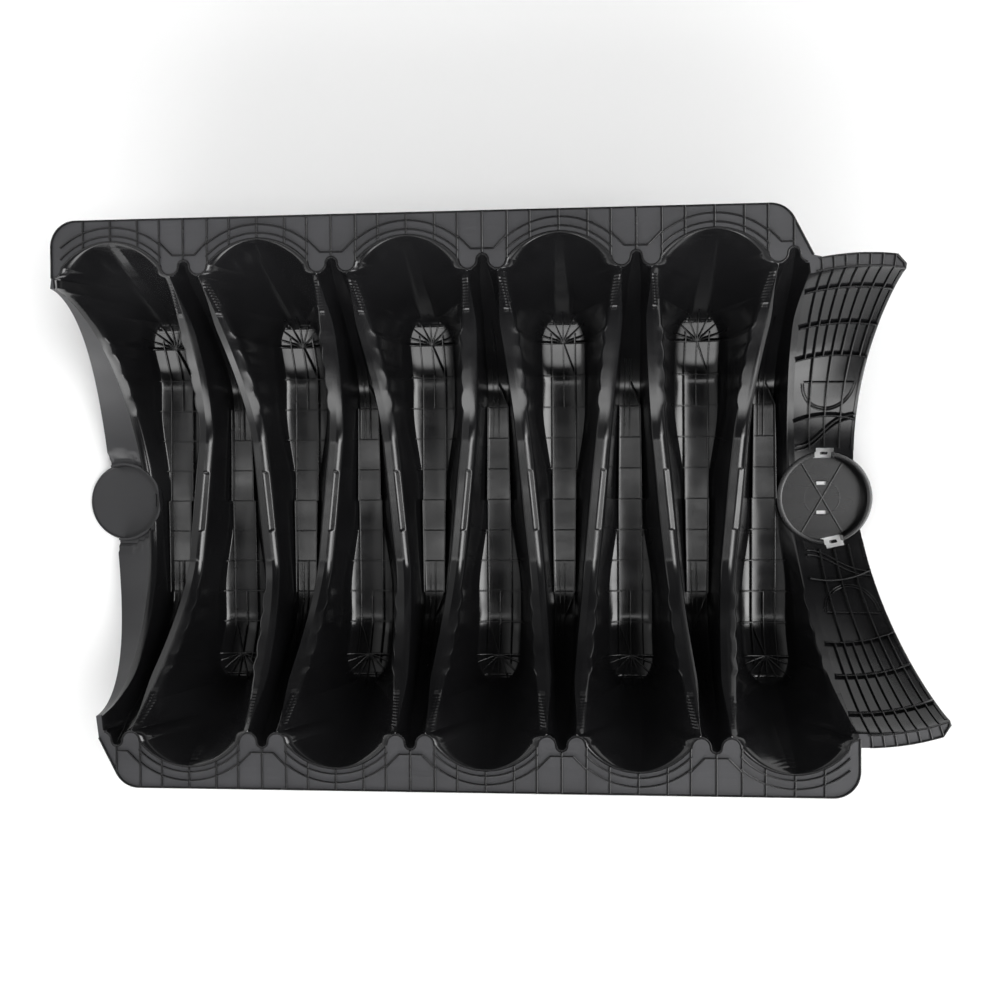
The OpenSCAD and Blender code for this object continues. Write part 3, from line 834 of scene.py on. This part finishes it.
class CHAMBER_OT_overlap(Operator):
    """Build the overlap flange, its rib grid and the ribs of its feet"""
    bl_idname = "chamber.overlap"
    bl_label = "Overlap flange"

    def execute(self, context):
        for s, name in ((1, "a"), (-1, "b")):
            x, y = dome_grid(COUNT, OVERLAP_EDGE, OVERLAP_BOW, SOCKET_X, OVERLAP_R, s)
            points, faces = skin(overlap_depth, x, y)
            piece = make_piece(f"overlap_{name}_skin", points, faces, finish("satin_shell"),
                               (f"overlap_shell_{name}",))
            hook = middle(f"snap_hook_{name}")
            turn = math.atan2(hook[1], hook[0] - SOCKET_X)
            reach = COLLAR_R + 1
            gap = block_tool(SOCKET_X + reach * math.cos(turn), reach * math.sin(turn),
                             8, 30, -20, 90, turn)
            cut(piece, [round_tool(SOCKET_X, 0, COLLAR_R), gap])
            self.grid_ribs(s, name)
            self.foot_ribs(s, name)
        return {"FINISHED"}

    def at(self, t, radius, s):
        """Point of the flange at share t from ridge to edge, at a distance from the socket."""
        y = s * radius
        for _ in range(14):
            ridge = CENTRES[-1] + PITCH / 2 - lean() * y / TAB_Y
            x = ridge * (1 - t) + edge_line(OVERLAP_EDGE, OVERLAP_BOW, y) * t
            y = s * math.sqrt(max(1.0, radius ** 2 - (x - SOCKET_X) ** 2))
        return x, y

    def grid_ribs(self, s, name):
        r = ribs()
        height, thick = r.overlap_height / MM, r.thickness / MM
        group = Ribs()

        def surface(x, y):
            return PLATE_Z - overlap_depth(x, y)

        for share, scale in ((0.405, 1.5), (0.68, 1.0), (0.81, 1.0), (0.94, 1.0)):
            radius = share * OVERLAP_R
            path = [self.at(t, radius, s) for t in np.linspace(0, 0.985, 30)]
            group.bar(path, surface, height, thick * scale)
        for j in range(1, 8):
            start = 0.255 if j % 2 == 0 else 0.68
            path = [self.at(j / 8, share * OVERLAP_R, s) for share in np.linspace(start, 0.995, 40)]
            group.bar(path, surface, height, thick)
        edge = [self.at(0.975, share * OVERLAP_R, s) for share in np.linspace(0.27, 0.995, 50)]
        group.bar(edge, surface, height * 0.35, thick * 2.4)
        self.half_disc(group, surface, s)
        self.s_ribs(group, surface, s)
        piece = group.piece(f"overlap_ribs_{name}_bars", finish("rib_black_painted_shade"), (f"overlap_ribs_{name}",))
        cut(piece, [round_tool(SOCKET_X, 0, COLLAR_R)])

    def half_disc(self, group, surface, s):
        """Raised D-shaped rib in the middle of the rib grid."""
        x, y = self.at(0.52, 0.56 * OVERLAP_R, s)
        for radius in (40, 43.5):
            path = arc(x, y, radius, 185, 355) if s > 0 else arc(x, y, radius, 5, 175)
            group.bar(path, surface, 3.5, 1.6)
        group.bar(line((x - 40, y), (x + 40, y)), surface, 3.5, 1.6)

    def s_ribs(self, group, surface, s):
        """Two curved ribs that sweep from the ridge round the socket to the edge."""
        for shift in (0, 7):
            a = self.at(0.03, 93 + shift, s)
            d = self.at(0.97, 138 + shift, s)
            b = (a[0] + 40, a[1] + s * 2)
            c = (d[0] - 44, d[1] - s * 2)
            group.bar(bezier(a, b, c, d), surface, 6, 2.0)

    def foot_ribs(self, s, name):
        """Cells on the foot at flange level: cross ribs between an inner and an outer rim."""
        height, thick = RIB_TOP - PLATE_Z, ribs().flange_thickness / MM
        group = Ribs()

        def surface(x, y):
            return np.full_like(x, PLATE_Z)

        ts = np.linspace(0, 1, 9)
        inner = [self.at(t, OVERLAP_R + 1.4, s)
                 for t in np.linspace(0.06 if s > 0 else 0.1, 0.99, 24)]
        outer = [self.at(t, FOOT_R - 1.4, s) for t in np.linspace(0.1, 0.87, 24)]
        outer += [self.at(0.97, FOOT_R - 12, s), self.at(0.985, OVERLAP_R + 2, s)]
        group.bar(inner, surface, height, thick)
        group.bar(outer, surface, height, thick)
        for t in ts[1:-1]:
            across = [self.at(t, OVERLAP_R + 1, s), self.at(t, FOOT_R - 1.5, s)]
            group.bar(across, surface, height, thick)
        group.piece(f"foot_ribs_{name}", finish("rib_black_painted_shade"))


class CHAMBER_OT_socket(Operator):
    """Build the pivot socket's collar, floor, slots, ribs and snap hooks"""
    bl_idname = "chamber.socket"
    bl_label = "Pivot socket"

    def execute(self, context):
        inner, outer = SOCKET_R, COLLAR_R
        low, top = box("socket_collar")[0][2], COLLAR_TOP
        profile = [(inner, low), (outer, low), (outer, top - 1.2), (outer - 0.5, top - 0.3),
                   (outer - 1.5, top), (inner + 1.5, top), (inner + 0.5, top - 0.3), (inner, top - 1.2)]
        collar = lathe("socket_collar_ring", SOCKET_X, 0, profile, finish("rib_black_painted_shade"),
                       ("socket_collar",))
        hooks = [middle("snap_hook_a"), middle("snap_hook_b")]
        cut(collar, [self.hook_window(hook, low - 1) for hook in hooks])
        self.floor()
        for name, hook in zip("ab", hooks):
            self.hook(name, hook)
        return {"FINISHED"}

    def hook_window(self, hook, low):
        turn = math.atan2(hook[1], hook[0] - SOCKET_X)
        reach = (SOCKET_R + COLLAR_R) / 2
        return block_tool(SOCKET_X + reach * math.cos(turn), reach * math.sin(turn),
                          14, 33, low, 60, turn)

    def floor(self):
        low, top = box("socket_floor")[0][2], box("socket_collar")[0][2]
        edge = COLLAR_R
        profile = [(0, low), (edge - 0.8, low), (edge, low + 0.8), (edge, top), (0, top)]
        plate = lathe("socket_floor_plate", SOCKET_X, 0, profile, finish("rib_black_painted_shade"), ("socket_floor",))
        cut(plate, [block_tool(SOCKET_X, s * 25, 18, 6, -5, 20) for s in (-1, 1)] +
            [self.hook_window(middle(f"snap_hook_{name}"), -5) for name in "ab"])
        group = Ribs()

        def surface(x, y):
            return np.full_like(x, top)

        reach = SOCKET_R - 1
        for degrees in (60, 120):
            turn = math.radians(degrees)
            across = np.array([math.cos(turn), math.sin(turn)]) * reach
            group.bar(line((SOCKET_X, 0) - across, (SOCKET_X, 0) + across, 8), surface, FLOOR_RIB, 2.4)
        group.bar(arc(SOCKET_X, 0, 30, 0, 360, 60), surface, 0.8, 1.4)
        group.piece("socket_floor_ribs", finish("rib_black_painted_shade"))

    def hook(self, name, place):
        low, high = box(f"snap_hook_{name}")
        turn = math.atan2(place[1], place[0] - SOCKET_X)
        c, s = math.cos(turn), math.sin(turn)
        profile = [(-2.2, low[2]), (2.2, low[2]), (2.2, high[2] - 0.5), (0.5, high[2]),
                   (-1.0, high[2] - 1), (-2.2, high[2] - 4)]
        points = [(place[0] + c * a - s * b, place[1] + s * a + c * b, z)
                  for b in (-5, 5) for a, z in profile]
        n = len(profile)
        faces = [(i, (i + 1) % n, n + (i + 1) % n, n + i) for i in range(n)]
        faces += [tuple(range(n))[::-1], tuple(range(n, 2 * n))]
        make_piece(f"snap_hook_{name}_tongue", points, faces, finish("rib_black_painted_shade"), (f"snap_hook_{name}",))


class CHAMBER_OT_flanges(Operator):
    """Build the scalloped flange plates and their ribs"""
    bl_idname = "chamber.flanges"
    bl_label = "Base flanges"

    def execute(self, context):
        for turn, name in ((1, "a"), (-1, "b")):
            self.plate(turn, name)
            self.ribs(turn, name)
        return {"FINISHED"}

    def placed(self, points, turn):
        """Plan points of side a, or the same turned half round for side b."""
        return np.asarray(points, float) * turn + (MIDDLE_X, 0)

    def tab(self):
        off, r = sizes().tab_off / MM, sizes().tab_r / MM
        return off, r, TAB_Y + r, PITCH - off - r

    def contour(self, k):
        """Inner edge of the plate round the end of corrugation k, from tab to tab."""
        off, r, root_y, arch_half = self.tab()
        turn = np.linspace(np.pi / 2, 0, 9)
        if k % 2:
            rise = ARCH_Y - root_y
            arch_r = arch_radius(arch_half, rise)
            swing = np.linspace(math.asin(arch_half / arch_r), 0, 24)[1:]
            u = np.concatenate([PITCH - off - r * np.cos(turn), arch_r * np.sin(swing)])
            y = np.concatenate([root_y - r * np.sin(turn), ARCH_Y - arch_r + arch_r * np.cos(swing)])
        else:
            notch = off - r
            swing = np.linspace(0, np.pi / 2, 10)[1:]
            u = np.concatenate([off - r * np.cos(turn), notch * np.cos(swing)])
            y = np.concatenate([root_y - r * np.sin(turn), root_y + notch * np.sin(swing)])
        centre = CENTRES[k - 1] - MIDDLE_X
        near = np.column_stack([centre - u, y])
        return np.concatenate([near, np.column_stack([centre + u, y])[-2::-1]])

    def ends(self):
        """Corner of the plate at the post end, the one at the socket end, and its arc's centre."""
        off = sizes().tab_off / MM
        first = np.array([CENTRES[0] - MIDDLE_X - (PITCH - off) - 2.5, TAB_Y])
        last = np.array([CENTRES[-1] - MIDDLE_X + off + 6.5, TAB_Y + 11])
        angle = math.radians(END_ANGLE)
        y = HALF_WIDTH - CORNER_R
        touch = y + CORNER_R * math.sin(angle)
        corner = np.array([last[0] - (touch - last[1]) * math.tan(angle) - CORNER_R * math.cos(angle), y])
        return first, last, corner

    def outer_edge(self, margin):
        first, _, corner = self.ends()
        return np.concatenate([
            arc(*corner, CORNER_R - margin, END_ANGLE, 90, 20),
            arc(first[0] + CORNER_R, HALF_WIDTH - CORNER_R, CORNER_R - margin, 90, 180, 20)])

    def inner_edge(self):
        return np.concatenate([self.contour(k)[:-1] for k in range(1, COUNT + 1)])

    def plate(self, turn, name):
        first, last, _ = self.ends()
        off = sizes().tab_off / MM
        tip = (CENTRES[-1] - MIDDLE_X + off, TAB_Y)
        outline = np.concatenate([self.inner_edge(), [tip, last], self.outer_edge(0), [first]])
        points, faces = prism(self.placed(outline, turn), PLATE_Z - WALL, PLATE_Z)
        # The plates take the lighter finish with painted light.
        make_piece(f"base_flange_{name}_plate", points, faces, finish("plate_painted_light"),
                   (f"base_flange_{name}",))

    def outer_y(self, x):
        corner = self.ends()[2]
        over = max(0.0, x - corner[0])
        return HALF_WIDTH if not over else corner[1] + math.sqrt(max(0.0, CORNER_R ** 2 - over ** 2))

    def ribs(self, turn, name):
        height, thick = RIB_TOP - PLATE_Z, ribs().flange_thickness / MM
        first, last, _ = self.ends()
        group = Ribs()

        def surface(x, y):
            return np.full_like(x, PLATE_Z)

        def bar(points, share=1.0, wide=1.0):
            group.bar(self.placed(points, turn), surface, height * share, thick * wide)

        margin = thick / 2
        bar(np.concatenate([[last - (margin, 0)], self.outer_edge(margin), [first + (margin, 0)]]))
        self.lip(bar)
        for k in range(1, COUNT + 1):
            x = CENTRES[k - 1] - MIDDLE_X
            if k % 2:
                self.arch(bar, x, margin)
            else:
                self.gap(bar, x, margin, k < COUNT)
        # The flange ribs take the near-black finish with painted shade.
        group.piece(f"flange_ribs_{name}_bars", finish("rib_black_painted_shade"), (f"flange_ribs_{name}",))

    def lip(self, bar):
        """Low soft bead round the scalloped inner edge."""
        edge = self.inner_edge()
        along = np.gradient(edge, axis=0)
        along /= np.maximum(1e-6, np.linalg.norm(along, axis=1))[:, None]
        outward = np.stack([-along[:, 1], along[:, 0]], -1)
        bar(edge + outward * 1.6, 0.35, 1.2)

    def arch(self, bar, x, margin):
        """Upright ribs and two arcs outside the wide end of a corrugation."""
        _, _, root_y, arch_half = self.tab()
        arch_r = arch_radius(arch_half, ARCH_Y - root_y)
        centre_y = ARCH_Y - arch_r
        for u in (-42.5, 0, 42.5):
            start = centre_y + math.sqrt(arch_r ** 2 - u ** 2) + 3
            bar(line((x + u, start), (x + u, HALF_WIDTH - margin), 4))
        for gap in (10, 23):
            reach = math.degrees(math.asin(min(1.0, (arch_half + 2) / (arch_r + gap))))
            bar(arc(x, centre_y, arch_r + gap, 90 - reach, 90 + reach, 40))

    def gap(self, bar, x, margin, whole):
        """Ribs outside the narrow end: a centre rib, two side ribs and a chamfered link."""
        off, r, root_y, _ = self.tab()
        side_u = off + r
        link_y = NOTCH_Y + 9
        bar(line((x, NOTCH_Y + 3), (x, self.outer_y(x) - margin), 4))
        for s in (-1, 1) if whole else (-1,):
            side_x = x + s * side_u
            bar(line((side_x, root_y + 2), (side_x, self.outer_y(side_x) - margin), 4))
            bar(line((x, link_y), (x + s * 17, link_y), 3))
            bar(line((x + s * 17, link_y), (side_x, link_y + side_u - 17), 4))


class CHAMBER_OT_finishes(Operator):
    """Give every node that keeps its own shape a moulded finish"""
    bl_idname = "chamber.finishes"
    bl_label = "Finishes"

    def execute(self, context):
        plates = ("base_flange", "overlap_foot", "band_foot")
        for name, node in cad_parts.items():
            if node.hide_render:
                continue
            # Flat plates take the finish with painted light, the post takes the band finish, and every
            # other node takes the near-black finish with painted shade.
            kind = "plate_painted_light" if name.startswith(plates) else (
                "smooth_band" if name.startswith("post") else "rib_black_painted_shade")
            node.data.materials.clear()
            node.data.materials.append(finish(kind))
        return {"FINISHED"}


class CHAMBER_OT_stage(Operator):
    """Set the floor, the lights and the camera"""
    bl_idname = "chamber.stage"
    bl_label = "Stage"

    def execute(self, context):
        context.scene.view_settings.view_transform = "Standard"
        self.floor()
        self.lights(context.scene.chamber_stage)
        self.camera(context.scene.chamber_stage)
        return {"FINISHED"}

    def floor(self):
        mesh = bpy.data.meshes.new("floor")
        half, z = 40.0, -0.0006
        mesh.from_pydata([(-half, -half, z), (half, -half, z), (half, half, z), (-half, half, z)],
                         [], [(0, 1, 2, 3)])
        material, tree, shader = new_material("pale_floor")
        shader.inputs["Base Color"].default_value = tuple(colours().floor)
        shader.inputs["Roughness"].default_value = 0.9
        mesh.materials.append(material)
        floor = bpy.data.objects.new("floor", mesh)
        bpy.context.scene.collection.objects.link(floor)

    def lights(self, stage):
        """Surroundings with a grey left, dark overhead, a strip and soft boxes, and two soft lamps."""
        world = bpy.data.worlds.new("studio")
        bpy.context.scene.world = world
        world.use_nodes = True
        tree = world.node_tree
        coordinates = tree.nodes.new("ShaderNodeTexCoord")
        parts = tree.nodes.new("ShaderNodeSeparateXYZ")
        tree.links.new(coordinates.outputs["Generated"], parts.inputs["Vector"])
        x, y, z = (parts.outputs[axis] for axis in "XYZ")
        low = remap(tree, z, 1.6 * stage.sky, 0.05 * stage.sky, 0.12, 0.42)
        left = remap(tree, x, 1.3 * stage.sky, 0.0, -0.34, -0.14)
        right_box = both(tree, window(tree, x, 0.36, 0.66), window(tree, y, -0.30, 0.34),
                         stage.right_box)
        near_box = both(tree, window(tree, y, -0.97, -0.74), window(tree, x, -0.45, 0.60),
                        stage.near_box)
        strip = both(tree, window(tree, y, -0.030, 0.030, 0.02), window(tree, x, -0.5, 0.4),
                     stage.overhead)
        total = low
        for part in (left, right_box, near_box, strip):
            total = maths(tree, "ADD", total, part)
        tree.nodes["Background"].inputs["Color"].default_value = (1.0, 1.0, 1.0, 1.0)
        tree.links.new(total, tree.nodes["Background"].inputs["Strength"])
        self.area("right_lamp", (2.2, -0.9, 2.2), 1.2, stage.key)
        self.area("left_lamp", (-2.4, 1.2, 2.2), 1.6, stage.fill)

    def area(self, name, place, width, power):
        light = bpy.data.lights.new(name, "AREA")
        light.shape = "RECTANGLE"
        light.size = light.size_y = width
        light.energy = power
        lamp = bpy.data.objects.new(name, light)
        lamp.location = place
        lamp.rotation_euler = (-Vector(place)).to_track_quat("-Z", "Y").to_euler()
        bpy.context.scene.collection.objects.link(lamp)

    def camera(self, stage):
        data = bpy.data.cameras.new("camera")
        data.lens = stage.lens
        data.sensor_width = 36.0
        camera = bpy.data.objects.new("camera", data)
        right, up, back = CAMERA_AXES
        turn = Matrix((right, up, back)).transposed()
        camera.matrix_world = Matrix.Translation(CAMERA_PLACE) @ turn.to_4x4()
        bpy.context.scene.collection.objects.link(camera)
        bpy.context.scene.camera = camera


def camera_pose():
    """Place and axes of a camera almost straight above the open side, tilted a little."""
    cx, sx, cy, sy, cz, sz = (f(a) for a in CAMERA_TURN for f in (math.cos, math.sin))
    turn = (Matrix(((cz, -sz, 0), (sz, cz, 0), (0, 0, 1)))
            @ Matrix(((cy, 0, sy), (0, 1, 0), (-sy, 0, cy)))
            @ Matrix(((1, 0, 0), (0, cx, -sx), (0, sx, cx))))
    flip = Matrix(((1, 0, 0), (0, -1, 0), (0, 0, -1)))
    axes = flip @ turn @ flip
    offset = flip @ Vector(CAMERA_OFFSET) * MM
    origin = Vector((MIDDLE_X, 0, PLATE_Z)) * MM
    return origin - axes.transposed() @ offset, [axes[i] for i in range(3)]


CAMERA_PLACE, CAMERA_AXES = camera_pose()


class CHAMBER_PT_sidebar(Panel):
    """Chamber tools in the sidebar"""
    bl_idname = "CHAMBER_PT_sidebar"
    bl_label = "Leaching Chamber"
    bl_space_type = "VIEW_3D"
    bl_region_type = "UI"
    bl_category = "Chamber"

    def draw(self, context):
        for operator in OPERATORS:
            self.layout.operator(operator.bl_idname)


OPERATORS = (CHAMBER_OT_stage, CHAMBER_OT_corrugations, CHAMBER_OT_crown_ribs, CHAMBER_OT_end_band,
             CHAMBER_OT_overlap, CHAMBER_OT_socket, CHAMBER_OT_flanges, CHAMBER_OT_finishes)
GROUPS = {"chamber_sizes": ChamberSizes, "chamber_ribs": RibSizes, "chamber_colours": FinishColours,
          "chamber_stage": StageLights}


def register():
    for cls in (*GROUPS.values(), *OPERATORS, CHAMBER_PT_sidebar):
        bpy.utils.register_class(cls)
    for name, group in GROUPS.items():
        setattr(bpy.types.Scene, name, PointerProperty(type=group))


def unregister():
    for name in GROUPS:
        delattr(bpy.types.Scene, name)
    for cls in reversed((*GROUPS.values(), *OPERATORS, CHAMBER_PT_sidebar)):
        bpy.utils.unregister_class(cls)


def main():
    register()
    bpy.ops.chamber.stage()
    bpy.ops.chamber.corrugations()
    bpy.ops.chamber.crown_ribs()
    bpy.ops.chamber.end_band()
    bpy.ops.chamber.overlap()
    bpy.ops.chamber.socket()
    bpy.ops.chamber.flanges()
    bpy.ops.chamber.finishes()


if __name__ == "__main__":
    main()
